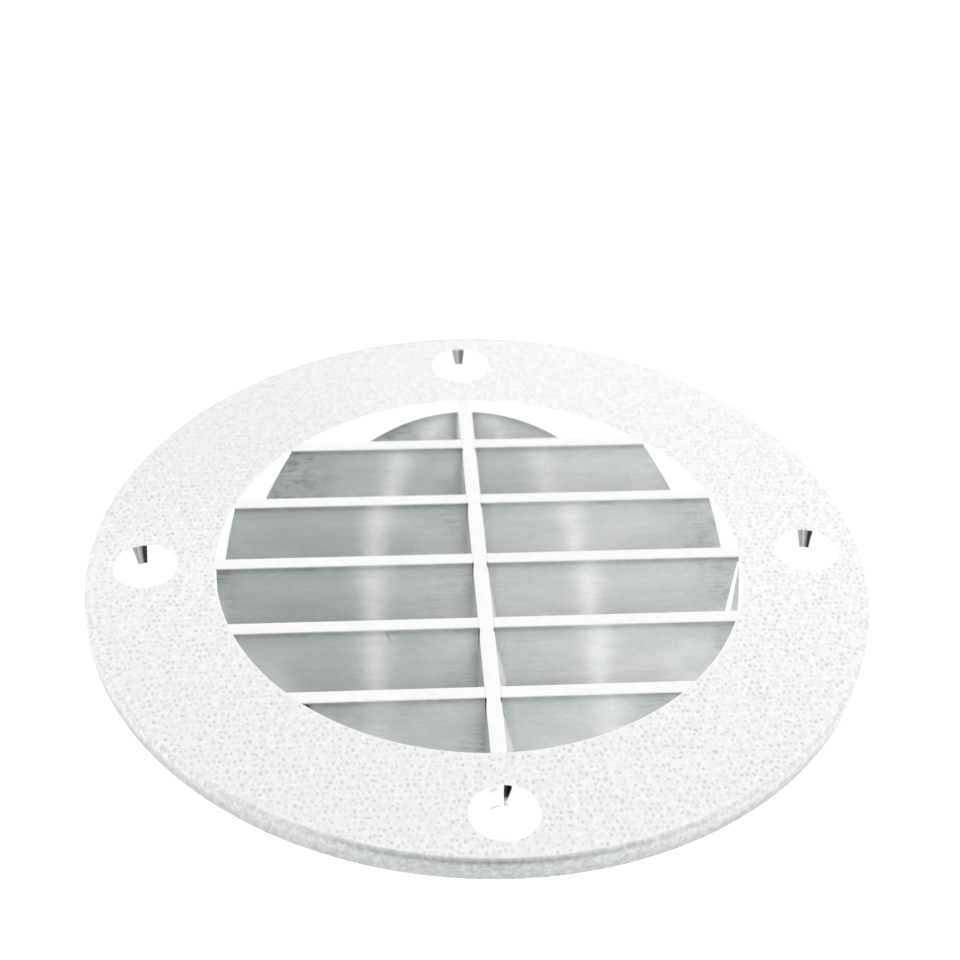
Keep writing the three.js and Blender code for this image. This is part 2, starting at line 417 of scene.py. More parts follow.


# The countersinks and the neck glow as bright as the sky in reflections, painted light where metal mirrors
# metal.
SKY = 1.5
WALL_GLOW = 0.3
FOAM_GLOW = 0.4
WHITE = (1, 1, 1, 1)
LESS_BLUE = 0.985
WARM = (1.0, 1.0, LESS_BLUE)
COOL = (0.965, 1.0, 0.99)


def at_rim(x, y):
    """1 on the flange's rim and 0 on its face; the line between them follows the rim's lobes."""
    angle = y.math("ARCTAN2", x)
    lobes = ((angle - LOBE_ANGLE) * LOBES).math("COSINE") * LOBE_HEIGHT + RIM_GROWTH
    return (from_axis(x, y) - lobes).span(RIM_RADIUS - 1.35 * MM, RIM_RADIUS - 0.75 * MM, smooth=True)


def painted_rim_shade(x, y, z):
    """The rim's painted shade and reflection: greyer near the front, with a painted dark line round its
    nose and its lower edge.
    """
    side = x.bell(-8 * MM, 32 * MM) * -0.25 + 1.0
    height = z.span(BACK_Z, FACE_Z)
    lower_edge = height.ramp([(0.0, 0.8), (0.12, 1.0), (0.3, 0.9), (0.75, 0.0)])
    lower_edge = lower_edge * (y + x * 0.2).span(-24 * MM, -42 * MM)
    side = side + lower_edge * (side * -1.0 + 0.73)
    nose = height.ramp([(0.78, 0.0), (0.9, 1.0), (1.0, 0.9)]) * x.bell(0.0, 26 * MM) * 0.115
    return side - nose * y.span(0.0, -40 * MM)


def cast_metal():
    """Bright cast metal with a small dull pit in the middle of every pebble; painted shade in the pits,
    painted light over the face and painted shade and reflection round the rim.
    """
    s = Shader("cast_metal")
    x, y, z = s.axes(s.place)
    rim, rim_shade = at_rim(x, y), painted_rim_shade(x, y, z)
    pebbles = s.noise(1250, 3, 0.6).span(0.36, 0.64, 0.86, 1.1)
    mottle = s.noise(700, 4, 0.6).span(0.3, 0.7, 0.555, 0.65)
    # The rim takes its painted shade and reflection, broken up by the pebbles.
    tone = mottle.changed(rim * (rim_shade * pebbles - 1.0))
    pit = s.stored("pit").span(0.0, 0.9)
    # Painted shade darkens each pit, less towards the back.
    tone = tone.changed(pit * y.span(20 * MM, 60 * MM, -0.28, -0.11))
    # Painted light: the face lighter from the front towards the middle and a little to the right, with
    # painted shade at the back left.
    painted_light = x / RIM_RADIUS * 0.02 + y.span(-RIM_RADIUS, 0.0, 1.005, 1.075)
    tone = tone * (painted_light - y.span(0.0, 40 * MM) * x.span(10 * MM, -40 * MM, 0.015, 0.06))
    # The rim's tint follows its painted shade.
    tint = (rim * (rim_shade - 1.0) * 0.14 + 1.0, 1.0, LESS_BLUE)
    s.bump(s.noise(1100, 3) * (rim * 1.5 + 1.0), 0.25, 0.05 * MM)
    return s.finish(base_color=s.tinted(tone, tint), metallic=1.0,
                    roughness=pit.span(0, 1, 0.32, 0.5) + rim * 0.2)


def polished_metal():
    """The turned countersinks, which glow as bright as the sky in reflections; the front one has a painted
    glow that fades its streak out downwards, with painted shade along its lower edge and at its upper left.
    """
    s = Shader("polished_metal")
    x, y, z = s.axes(s.place)
    depth = z * -1.0 + FACE_Z
    s.bump(s.noise(900, 2), 0.06, 0.02 * MM)
    at_front = y.span(-50 * MM, -55 * MM)
    # A painted glow fills the front countersink below and to the right of its streak.
    streak_edge = depth.span(0.3 * MM, 2.2 * MM, 1.5 * MM, 0.4 * MM)
    fade = depth.span(1.3 * MM, 2.5 * MM) + (x - streak_edge).span(0.0, 0.3 * MM)
    fade = fade.span(0.0, 1.0) * at_front
    # Painted shade along the front countersink's lower edge and at its upper left.
    lower_shade = depth.bell(SINK_DEPTH, 0.28 * MM) * x.bell(-1.4 * MM, 2.4 * MM) * at_front * 0.78
    upper_left_shade = depth.bell(0.4 * MM, 0.5 * MM) * x.bell(-1.5 * MM, 1.5 * MM) * at_front * 0.45
    # In reflections the countersinks glow as bright as the sky.
    return s.finish(base_color=s.tinted((lower_shade + upper_left_shade).opposite() * 0.92), metallic=1.0,
                    roughness=s.noise(300).span(0.3, 0.7, 0.05, 0.09), emission_color=WHITE,
                    emission_strength=s.ray("Glossy") * SKY + fade * lower_shade.opposite())


def glowing_wall_metal():
    """The smooth wall round the opening, kept bright by a painted glow of its own."""
    s = Shader("glowing_wall_metal")
    colour = s.tinted(s.noise(160).span(0.35, 0.65, 0.93, 0.97), WARM)
    s.bump(s.noise(700, 3), 0.1, 0.02 * MM)
    return s.finish(base_color=colour, metallic=0.0, roughness=0.45, emission_color=colour,
                    emission_strength=WALL_GLOW)


def satin_metal():
    """The dressed front lands and the mullion, whose sides carry painted light and shade: the right side
    lighter, the left a little darker, both lighter towards the back.
    """
    s = Shader("satin_metal")
    x, y, z = s.axes(s.place)
    tone = s.noise(500, 3).span(0.35, 0.65, 0.645, 0.67)
    # Painted light and shade on the mullion's sides.
    side_light_and_shade = x.span(-1.0 * MM, 1.0 * MM, 0.0, 0.6) + y.span(20 * MM, 48 * MM, 0.95, 1.6)
    on_side = z.span(FACE_Z - 0.1 * MM, FACE_Z - 0.5 * MM)
    tone = tone.changed(on_side * (side_light_and_shade - 1.0))
    s.bump(s.noise(1500, 3), 0.12, 0.03 * MM)
    return s.finish(base_color=s.tinted(tone, WARM), metallic=1.0,
                    roughness=s.noise(350).span(0.3, 0.7, 0.3, 0.42))


def painted_sheen_bands(x, y, depth):
    """How much lighter the blades are painted in two highlight bands, which close on each other towards the
    back.
    """
    back = y.span(0.0, SHEEN_END)
    middle = (back * back).opposite() ** 0.75 * SHEEN_OFFSET
    bands = abs(x).bell(middle, depth.span(0, 9 * MM, 3.4 * MM, 1.9 * MM))
    along = y.span(*SHEEN_REACH)
    right = x.span(-1 * MM, 1 * MM)
    return bands * (along.ramp(SHEEN_LEFT) * right.opposite() + along.ramp(SHEEN_RIGHT) * right)


def broad_painted_light(x, y, depth):
    """Painted light and shade: slow changes of tone from blade to blade and along each one, as factors."""
    return (
        x.span(-42 * MM, 30 * MM, 0.494, 0.63, smooth=True),
        x.bell(-6 * MM, 14 * MM) * y.span(8 * MM, -8 * MM) * 0.085 + 1.0,
        x.bell(9 * MM, 9 * MM) * y.span(16 * MM, 30 * MM) * -0.1 + 1.0,
        x.bell(24 * MM, 11 * MM) * y.span(-16 * MM, -26 * MM) * 0.05 + 1.0,
        y.span(-45 * MM, -32 * MM, 0.9, 1.0),
        depth.span(2.5 * MM, 6.5 * MM, 0.985, 1.08),
        x.span(34 * MM, 46 * MM, 1.0, 0.93),
        x.span(-26 * MM, -34 * MM, 1.0, 0.97),
    )


def painted_corner_shade(s, x, y, depth):
    """Painted shade under each land, beside the rib and near the neck's wall, as shares of light lost."""
    shadow_under_nose = depth.bell(0.6 * MM, 0.4 * MM) * s.noise((260, 90, 90), 4, 0.65).span(0.35, 0.7, 0.16, 0.36)
    under_land = depth.span(0.6 * MM, 2.6 * MM, 0.14, 0.0)
    beside_rib = abs(x).span(1.6 * MM, 4.2 * MM, 0.14, 0.0, smooth=True)
    behind_rib = abs(x).span(1.6 * MM, 3.6 * MM, 0.2, 0.0, smooth=True) * y.span(37 * MM, 41 * MM)
    far_edge = from_axis(x, y).bell(OPENING_RADIUS, 0.9 * MM) * y.span(42 * MM, 46 * MM) * 0.3
    return shadow_under_nose, under_land, beside_rib, behind_rib, far_edge


def scuffs(s, x, y, depth):
    """Smudges and scratches on the blades, as shares of light lost."""
    patches = s.noise(75, 4, 0.6).span(0.5, 0.62)
    blotches = s.noise(420, 3, 0.6).span(0.48, 0.66)
    strokes = s.noise((260, 2600, 2600), 3, 0.5).span(0.45, 0.65)
    near_wall = from_axis(x, y).span(OPENING_RADIUS - 9 * MM, OPENING_RADIUS, smooth=True)
    smudge = near_wall * patches * (strokes * 0.22 + 0.12)
    left_end = x.span(-26 * MM, -37 * MM, smooth=True) * y.span(19 * MM, 21 * MM) * y.span(38 * MM, 36 * MM)
    left_end = left_end * (strokes * 0.24 + blotches * 0.26)
    right_end = x.span(38 * MM, 46 * MM, smooth=True) * y.span(-9 * MM, -6 * MM) * y.span(19 * MM, 17 * MM)
    right_end = right_end * (strokes + blotches) * 0.11
    rubbed = x.span(-18 * MM, -3 * MM) * x.span(0.0, -1 * MM) * strokes * patches * 0.25
    tip = x.bell(-33.3 * MM, 0.9 * MM) * depth.bell(0.7 * MM, 0.4 * MM) * y.span(-36 * MM, -37 * MM) * 0.7
    scratch = (x - depth * 0.6).bell(-18.98 * MM, 0.2 * MM) * y.bell(-20.1 * MM, 0.7 * MM) * 0.35
    return smudge, left_end, right_end, rubbed, tip, scratch


def brushed_metal():
    """Blade sheet brushed along its length, with two painted highlight bands, painted light and shade over
    it, painted shade in its corners and real smudges and scratches.
    """
    s = Shader("brushed_metal")
    x, y, z = s.axes(s.place)
    depth = z * -1.0 + FACE_Z
    grain = s.noise((60, 4200, 4200), 4, 0.6)
    streak = s.noise((70, 1100, 1100), 5, 0.65)
    stain = s.noise((90, 260, 260), 3, 0.55)
    fine = s.noise((800, 3000, 3000), 2, 0.5)
    tone = streak.span(0.3, 0.7, 0.96, 1.04) * fine.span(0.3, 0.7, 0.96, 1.04)
    tone = tone * stain.span(0.3, 0.7, 0.94, 1.05)
    # Painted highlight bands.
    tone = tone.changed(painted_sheen_bands(x, y, depth))
    # Painted light and shade over the blades.
    for factor in broad_painted_light(x, y, depth):
        tone = tone * factor
    # Painted shade in the corners, then real smudges and scratches.
    for lost in (*painted_corner_shade(s, x, y, depth), *scuffs(s, x, y, depth)):
        tone = tone * lost.opposite()

    s.bump(grain + streak, 0.2, 0.02 * MM)
    along_slope = s.add("ShaderNodeCombineXYZ")
    along_slope.inputs["Y"].default_value = 1.0
    along_slope.inputs["Z"].default_value = 1.0
    s.put(along_slope.outputs[0], s.surface.inputs["Tangent"])
    tint = (tone.span(0.45, 0.7, 0.93, 0.99), 1.0, LESS_BLUE)
    return s.finish(base_color=s.tinted(tone, tint), metallic=1.0,
                    roughness=grain.span(0.3, 0.7, 0.48, 0.56), anisotropic=0.5)


def rolled_metal():
    """Rolled sheet of the neck, with faint rings; painted shade towards the floor, painted light where it
    shows through the front hole, and a sky-bright glow in reflections.
    """
    s = Shader("rolled_metal")
    x, y, z = s.axes(s.place)
    rings = s.noise((60, 60, 2500), 4, 0.6)
    painted_light_behind_hole = x.bell(0.0, 14 * MM) * y.span(-25 * MM, -48 * MM)
    # Painted shade towards the floor, and painted light behind the front hole.
    tone = z.span(2 * MM, 17 * MM, smooth=True) * (painted_light_behind_hole * 0.38 + 0.1) + 0.42
    tone = tone * s.noise(90).span(0.35, 0.65, 0.95, 1.05)
    s.bump(rings, 0.2, 0.02 * MM)
    return s.finish(base_color=s.tinted(tone), metallic=1.0, roughness=rings.span(0.3, 0.7, 0.24, 0.38),
                    emission_color=WHITE, emission_strength=s.ray("Glossy") * SKY)


def screw_steel():
    """Turned bright steel."""
    s = Shader("screw_steel")
    s.bump(s.noise(2500, 3), 0.15, 0.02 * MM)
    return s.finish(base_color=s.tinted(s.noise(800).span(0.3, 0.7, 0.5, 0.62)), metallic=1.0,
                    roughness=s.noise(1200).span(0.3, 0.7, 0.22, 0.4))


def foam():
    """White closed-cell foam with a painted glow, and painted shade round its outer edge."""
    s = Shader("gasket_foam")
    cells = s.add("ShaderNodeTexVoronoi")
    s.put(s.place, cells.inputs["Vector"])
    cells.inputs["Scale"].default_value = 2200
    s.bump(cells.outputs["Distance"], 0.6, 0.12 * MM)
    x, y, _ = s.axes(s.place)
    inside = from_axis(x, y).span(gasket_high.x - 0.6 * MM, gasket_high.x - 1.2 * MM)
    # Painted shade round the outer edge, where the painted glow also stops.
    colour = s.tinted(s.noise(200).span(0.3, 0.7, 0.76, 0.84) * inside.span(0, 1, 0.7, 1.0))
    return s.finish(base_color=colour, roughness=0.9, emission_color=colour,
                    emission_strength=inside * FOAM_GLOW)


# ---- flange ----

RIM_COLUMNS = 1080
PIT_SPACING = 1.16 * MM
PIT_ROW_SPACING = 1.36 * MM
PIT_SIZE = (0.4 * MM, 0.54 * MM)
PIT_STRETCH = 1.65
PIT_DEPTH = (0.015 * MM, 0.08 * MM)
PIT_CORNERS = 6
PIT_SHAKE = 0.33
PIT_MARGIN = 0.4 * MM
CORNER_MARGIN = 0.15 * MM
FACE_SWELL = (3 * MM, 0.03 * MM)
RIM_SWELLS = [(6 * MM, 0.05 * MM), (0.9 * MM, 0.03 * MM)]
random = np.random.RandomState(11)


def circle_points(radius, count):
    """Evenly spaced (x, y) points on a circle, as an array."""
    angles = TURN * np.arange(count) / count
    return np.stack([radius * np.cos(angles), radius * np.sin(angles)], axis=1)


def scattered_pits(inner, outer):
    """Pit centres on the face: a hexagonal lattice, shaken."""
    steps = int(2 * outer / PIT_SPACING) + 2
    column, row = np.meshgrid(np.arange(steps), np.arange(steps))
    x = (column + 0.5 * (row % 2)) * PIT_SPACING - outer
    y = row * PIT_ROW_SPACING - outer
    centres = np.stack([x.ravel(), y.ravel()], axis=1)
    centres += random.uniform(-PIT_SHAKE, PIT_SHAKE, centres.shape) * PIT_SPACING
    radius = np.hypot(centres[:, 0], centres[:, 1])
    return centres[(radius > inner + PIT_MARGIN) & (radius < outer - PIT_MARGIN)]


def pit_corners(centres):
    """Points round every pit, each pit slightly oval and turned its own way."""
    count = len(centres)
    size = random.uniform(*PIT_SIZE, count)[:, None]
    lean = random.uniform(0, TURN, count)[:, None]
    oval = random.uniform(0.0, 0.15, count)[:, None]
    angle = lean + TURN * np.arange(PIT_CORNERS)[None, :] / PIT_CORNERS
    radius = size * (1 + oval * np.cos(2 * (angle - lean)))
    x = centres[:, :1] + radius * np.cos(angle)
    y = centres[:, 1:] + radius * np.sin(angle) * PIT_STRETCH
    return np.stack([x.ravel(), y.ravel()], axis=1)


def swell(place, size, height):
    """A random rise and fall over a surface; the size is how far apart its hills are."""
    return height * noise.noise(place / size)


def pebbled_face(inner, outer):
    """The flange's face as its points and triangles, and its pits as their places and depths.

    The outer circle's points come first and the inner circle's next.
    """
    centres = scattered_pits(inner, outer)
    rings = [circle_points(outer, RIM_COLUMNS), circle_points(inner, RIM_COLUMNS)]
    corners = pit_corners(centres)
    reach = np.hypot(corners[:, 0], corners[:, 1])
    corners = corners[(reach > inner + CORNER_MARGIN) & (reach < outer - CORNER_MARGIN)]
    flat = np.concatenate([*rings, centres, corners])
    depth = random.uniform(*PIT_DEPTH, len(centres))
    layer = 0.9 * MM
    z = np.array([swell(Vector((x, y, layer)), *FACE_SWELL) for x, y in flat])
    z[: 2 * RIM_COLUMNS] = 0.0
    first_pit = 2 * RIM_COLUMNS
    z[first_pit: first_pit + len(centres)] -= depth
    loops = [(start + k, start + (k + 1) % RIM_COLUMNS)
             for start in (0, RIM_COLUMNS) for k in range(RIM_COLUMNS)]
    whole_hull, merge_distance = 0, 1e-8
    _, _, triangles, origin, _, _ = geometry.delaunay_2d_cdt(
        [Vector(p) for p in flat], loops, [], whole_hull, merge_distance)
    source = np.array([o[0] for o in origin])
    triangles = source[np.array(triangles)]
    middle = flat[triangles].mean(axis=1)
    kept = triangles[np.hypot(middle[:, 0], middle[:, 1]) > inner]
    points = np.column_stack([flat, FACE_Z + z])
    pits = np.column_stack([centres, points[first_pit: first_pit + len(centres), 2]])
    return points, kept, pits, depth


def out_of_round(points):
    """The points with those near the rim moved out and in, in the shallow lobes of a chucked disc."""
    points = np.array(points)
    x, y = points[:, 0], points[:, 1]
    near_rim = np.clip((np.hypot(x, y) / RIM_RADIUS - 0.8) / 0.2, 0, 1) ** 2
    lobes = RIM_GROWTH + LOBE_HEIGHT * np.cos(LOBES * (np.arctan2(y, x) - LOBE_ANGLE))
    points[:, :2] *= (1 + near_rim * lobes / RIM_RADIUS)[:, None]
    return points


def rim_outline():
    """The (radius, z) points from the face's edge down the rim, and those back to the opening's edge."""
    nose_width, nose_drop = RIM_NOSE
    nose = arc((RIM_RADIUS - nose_width, FACE_Z - nose_drop), RIM_NOSE, 90, 0, 5)[1:]
    wall_top = nose[-1][1]
    wall_end = BACK_Z + BACK_ROUND
    wall = [(RIM_RADIUS, wall_top + (wall_end - wall_top) * k / 10) for k in range(1, 10)]
    under = arc((RIM_RADIUS - BACK_ROUND, wall_end), (BACK_ROUND, BACK_ROUND), 0, -90, 3)
    behind = [
        (REBATE_RADIUS, BACK_Z),
        (REBATE_RADIUS, REBATE_FLOOR_Z),
        (OPENING_RADIUS, REBATE_FLOOR_Z),
    ]
    edge = arc((OPENING_RADIUS + OPENING_EDGE, FACE_Z - OPENING_EDGE), (OPENING_EDGE,) * 2, 180, 90, 4)
    return nose + wall + under, behind + edge[:-1]


def flange_body():
    """The whole ring before its holes are cut, and the places and depths of its pits."""
    outer = RIM_RADIUS - RIM_NOSE[0]
    inner = OPENING_RADIUS + OPENING_EDGE
    points, faces, pits, depths = pebbled_face(inner, outer)
    points, faces = list(points), [tuple(f) for f in faces]
    pebbled, plain = rim_outline()
    rings = [list(range(RIM_COLUMNS))]
    for row, (radius, z) in enumerate(pebbled + plain):
        rings.append(list(range(len(points), len(points) + RIM_COLUMNS)))
        for x, y in circle_points(1.0, RIM_COLUMNS):
            reach = radius
            if row < len(pebbled):
                spot = Vector((x * RIM_RADIUS, y * RIM_RADIUS, z))
                reach += sum(swell(spot, *wave) for wave in RIM_SWELLS)
            points.append((reach * x, reach * y, z))
    rings.append(list(range(RIM_COLUMNS, 2 * RIM_COLUMNS)))
    for ring, after in zip(rings, rings[1:]):
        for k in range(RIM_COLUMNS):
            n = (k + 1) % RIM_COLUMNS
            faces.append((ring[k], after[k], after[n], ring[n]))
    return outward(mesh_object("flange_body", out_of_round(points), faces)), out_of_round(pits), depths


def countersink(place):
    """The tool that cuts one ceiling-screw hole."""
    past = 0.5 * MM
    outline = [
        (0, BACK_Z - past),
        (HOLE_RADIUS, BACK_Z - past),
        (HOLE_RADIUS, FACE_Z - SINK_DEPTH),
        (COUNTERSINK_RADIUS + past, FACE_Z + past),
        (0, FACE_Z + past),
    ]
    tool = revolve("countersink", outline, SMALL_ROUND)
    tool.data.transform(Matrix.Translation((*place, 0)))
    return tool


def mark_pits(obj, pits, depths):
    """Stores on each point how deep its pit is, from 0 to 1."""
    same_place = 0.02 * MM
    tree = kdtree.KDTree(len(pits))
    for i, pit in enumerate(pits):
        tree.insert(pit, i)
    tree.balance()
    values = np.zeros(len(obj.data.vertices), np.float32)
    for v in obj.data.vertices:
        _, i, distance = tree.find(v.co)
        if distance < same_place:
            values[v.index] = depths[i] / PIT_DEPTH[1]
    attribute = obj.data.attributes.new("pit", "FLOAT", "POINT")
    attribute.data.foreach_set("value", np.clip(values, 0, 1))


def mark_flange_materials(obj):
    """Material 1 for the turned holes, 2 for the wall of the opening, and 0 elsewhere."""
    count = len(obj.data.polygons)
    centre = np.zeros(count * 3)
    normal = np.zeros(count * 3)
    obj.data.polygons.foreach_get("center", centre)
    obj.data.polygons.foreach_get("normal", normal)
    centre, normal = centre.reshape(-1, 3), normal.reshape(-1, 3)
    level = np.abs(normal[:, 2])
    index = np.zeros(count, np.int32)
    for x, y in around(HOLE_CIRCLE_RADIUS, CEILING_HOLES):
        away = np.hypot(centre[:, 0] - x, centre[:, 1] - y)
        index[(away < COUNTERSINK_RADIUS + 0.05 * MM) & (level < 0.8)] = 1
    radius = np.hypot(centre[:, 0], centre[:, 1])
    index[(radius < OPENING_RADIUS + OPENING_EDGE) & (level < 0.9)] = 2
    obj.data.polygons.foreach_set("material_index", index)


def true_cones(obj):
    """Shades the turned holes by their exact shape, however the cut has divided them."""
    mesh = obj.data
    normals = [(0.0, 0.0, 0.0)] * len(mesh.loops)
    places = around(HOLE_CIRCLE_RADIUS, CEILING_HOLES)
    for face in mesh.polygons:
        if face.material_index != 1:
            continue
        x, y = min(places, key=lambda place: math.dist(place, face.center[:2]))
        on_cone = face.normal.z > 0.4
        for loop in face.loop_indices:
            point = mesh.vertices[mesh.loops[loop].vertex_index].co
            inward = Vector((x - point.x, y - point.y, 0)).normalized()
            normals[loop] = (inward + Vector((0, 0, on_cone))).normalized()
    mesh.normals_split_custom_set(normals)


def face_flange(materials):
    """The pebbled ring, with its ceiling holes and the tapped holes behind."""
    body, pits, depths = flange_body()
    tools = [countersink(place) for place in around(HOLE_CIRCLE_RADIUS, CEILING_HOLES)]
    for name in LIP_SCREWS:
        hole_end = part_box(name)[1].z + PAST_SCREW_TIP
        tools.append(rod("tapped", TAPPED_RADIUS, REBATE_FLOOR_Z - MM, hole_end, SCREW_ROUND,
                         screw_place(name)))
    combine(body, "DIFFERENCE", tools)
    mark_pits(body, pits, depths)
    smooth(body, degrees=38)
    dress(body, "flange_ring", materials, "face_flange")
    mark_flange_materials(body)
    true_cones(body)


# ---- blades ----

def opening_shape():
    """A tool that trims a piece to the neck's bore and to the rounded edge of the opening above it."""
    inner, corner = OPENING_RADIUS - SIDE_GAP, OPENING_EDGE + SIDE_GAP
    edge = arc((OPENING_RADIUS + OPENING_EDGE, FACE_Z - OPENING_EDGE), (corner, corner), 180, 90, 4)
    outline = [(0, neck_low.z), (inner, neck_low.z), *edge, (edge[-1][0], FACE_Z + MM), (0, FACE_Z + MM)]
    return revolve("opening_shape", outline, ROUND)


def blade_y(index):
    """The middle of a blade's front land; blade 0 is the furthest."""
    return SECOND_BLADE_Y - (index - 1) * BLADE_PITCH


def web_outline(centre, top, bottom, clearance=0.0):
    """A 45 degree web between two depths below the face, as (y, z) points."""
    half = LAND / 2 + clearance * math.sqrt(2)
    upper, lower = top - clearance, bottom + clearance
    high, low = centre - (upper - BLADE_NOSE), centre - (lower - BLADE_NOSE)
    return [
        (high + half, FACE_Z - upper),
        (high - half, FACE_Z - upper),
        (low - half, FACE_Z - lower),
        (low + half, FACE_Z - lower),
    ]


def tenon_outline(index, clearance=0.0):
    """The part of a blade's web that runs on through the neck's wall."""
    start = BLADE_DEPTH - 1.5 * TENON_LENGTH if index == 0 else TENON_TOP
    return web_outline(blade_y(index), start, start + TENON_LENGTH, clearance)


def ripple(obj):
    """Gives the flat faces of a blade a slight wave, as thin brushed metal has."""
    length, width, height = 22 * MM, 9 * MM, 0.035 * MM
    for v in obj.data.vertices:
        shift = height * noise.noise(Vector((v.co.x / length, v.co.y / width, v.co.z / width)))
        v.co.y += shift
        v.co.z -= shift


def louvre_blade(index, name, materials):
    """One blade: a flush land, a web sloping back from it, and a tenon at each end."""
    centre = blade_y(index)
    half = LAND / 2
    web = web_outline(centre, BLADE_NOSE, BLADE_DEPTH)
    outline = [(centre + half, FACE_Z - BLADE_NOSE), (centre + half, FACE_Z), (centre - half, FACE_Z)]
    outline = soften(outline + web[1:], 0.18 * MM)
    blade = outward(prism(name, outline, "X", OPENING_RADIUS + MM, stations=80))
    ripple(blade)
    if index == BEADED_BLADE:
        combine(blade, "UNION", [end_bead()])
    combine(blade, "INTERSECT", [opening_shape()])
    tenon = outward(prism("tenon", tenon_outline(index), "X", NECK_RADIUS + MM))
    combine(tenon, "INTERSECT", [rod("outside", NECK_RADIUS, neck_low.z, FACE_Z, ROUND)])
    combine(blade, "UNION", [tenon])
    depth = MULLION_DEPTH if index == 0 else MULLION_DEPTH / 2
    combine(blade, "DIFFERENCE", [mullion_bar(JOINT_GAP, MM, depth + SEAT_GAP, stations=121)])
    smooth(blade)
    dress(blade, name + "_slat", materials, name)
    mark_lands(blade, centre)


def end_bead():
    """The slanting bead on one blade's right end, lying in the front of its web."""
    web_y, web_z = blade_y(BEADED_BLADE) - LAND / 2, FACE_Z - BLADE_NOSE
    start, end = 0.5 * MM, BLADE_DEPTH / 2
    top = Vector((OPENING_RADIUS - 0.2 * MM, web_y - start, web_z - start))
    bottom = Vector((OPENING_RADIUS - BEAD_LEAN, web_y - end, web_z - end))
    length = (bottom - top).length
    tip_radius = 0.15 * MM
    bead = revolve("bead", [(0, 0), (tip_radius, 0), (BEAD_RADIUS, length), (0, length)], 24)
    turn = (bottom - top).to_track_quat("Z", "Y").to_matrix().to_4x4()
    bead.data.transform(Matrix.Translation(top) @ turn)
    return bead


def mark_lands(blade, centre):
    """Material 1 for the front land, 2 for the bead proud of the web, and 0 for the rest."""
    for face in blade.data.polygons:
        spot = face.center
        proud = (spot.z - FACE_Z + BLADE_NOSE) - (spot.y - centre + LAND / 2)
        if spot.z > FACE_Z - 0.2 * MM:
            face.material_index = 1
        elif proud > 0.1 * MM and spot.x > OPENING_RADIUS - 2 * BEAD_LEAN and spot.z < FACE_Z - MM:
            face.material_index = 2
        else:
            face.material_index = 0


# ---- mullion ----

def mullion_bar(clearance, top, depth, stations):
    """The mullion's bar: an upright nose, then sides that flare towards the duct.

    The flare on the right shrinks towards the far end.
    """
    half = MULLION_HALF_WIDTH + clearance
    left, right = [half + flare * (depth - MULLION_NOSE) for flare in MULLION_FLARES]
    outline = [
        (half, FACE_Z + top),
        (-half, FACE_Z + top),
        (-half, FACE_Z - MULLION_NOSE),
        (-left, FACE_Z - depth),
        (right, FACE_Z - depth),
        (half, FACE_Z - MULLION_NOSE),
    ]
    bar = prism("mullion_bar", soften(outline, 0.06 * MM), "Y", OPENING_RADIUS + 0.3 * MM, stations)
    for v in bar.data.vertices:
        if v.co.x > half:
            fade = (v.co.y - FLARE_FADE[0]) / (FLARE_FADE[1] - FLARE_FADE[0])
            kept = 1 - (1 - FLARE_LEFT_OVER) * min(max(fade, 0.0), 1.0)
            v.co.x = half + (v.co.x - half) * kept
    return outward(bar)


def shoulder_crossings(bar):
    """Narrows the bar's front a little just past the near side of each blade's land."""
    share, reach = 0.16, 1.5 * MM
    for v in bar.data.vertices:
        if v.co.z < FACE_Z - 1.05 * MULLION_NOSE:
            continue
        for index in range(1, len(BLADES)):
            past = (blade_y(index) - LAND / 2 - v.co.y) / reach
            if past > 0:
                v.co.x *= 1 - share * math.exp(-past * past)


def upright_outline(clearance=0.0):
    """The mullion's tenon, which runs on through the neck's wall, as (x, z) points."""
    half = MULLION_HALF_WIDTH + clearance
    top, bottom = FACE_Z - TENON_TOP + clearance, FACE_Z - MULLION_DEPTH - clearance
    return [(half, top), (-half, top), (-half, bottom), (half, bottom)]


def mullion(materials):
    """The rib across all the blades, halved into blades 2 to 6 and let right into blade 1."""
    bar = mullion_bar(0.0, 0.0, MULLION_DEPTH, stations=240)
    shoulder_crossings(bar)
    combine(bar, "INTERSECT", [opening_shape()])
    tenon = outward(prism("tenon", upright_outline(), "Y", NECK_RADIUS + MM))
    combine(tenon, "INTERSECT", [rod("outside", NECK_RADIUS, neck_low.z, FACE_Z, ROUND)])
    combine(bar, "UNION", [tenon])
    slots = []
    for index in range(1, len(BLADES)):
        outline = web_outline(blade_y(index), MULLION_DEPTH / 2, MULLION_DEPTH + MM, SIDE_GAP)
        slots.append(prism("slot", outline, "X", 6 * MM))
    combine(bar, "DIFFERENCE", slots)
    smooth(bar)
    dress(bar, "mullion_rib", materials, "mullion")


# ---- neck, screws and gasket ----

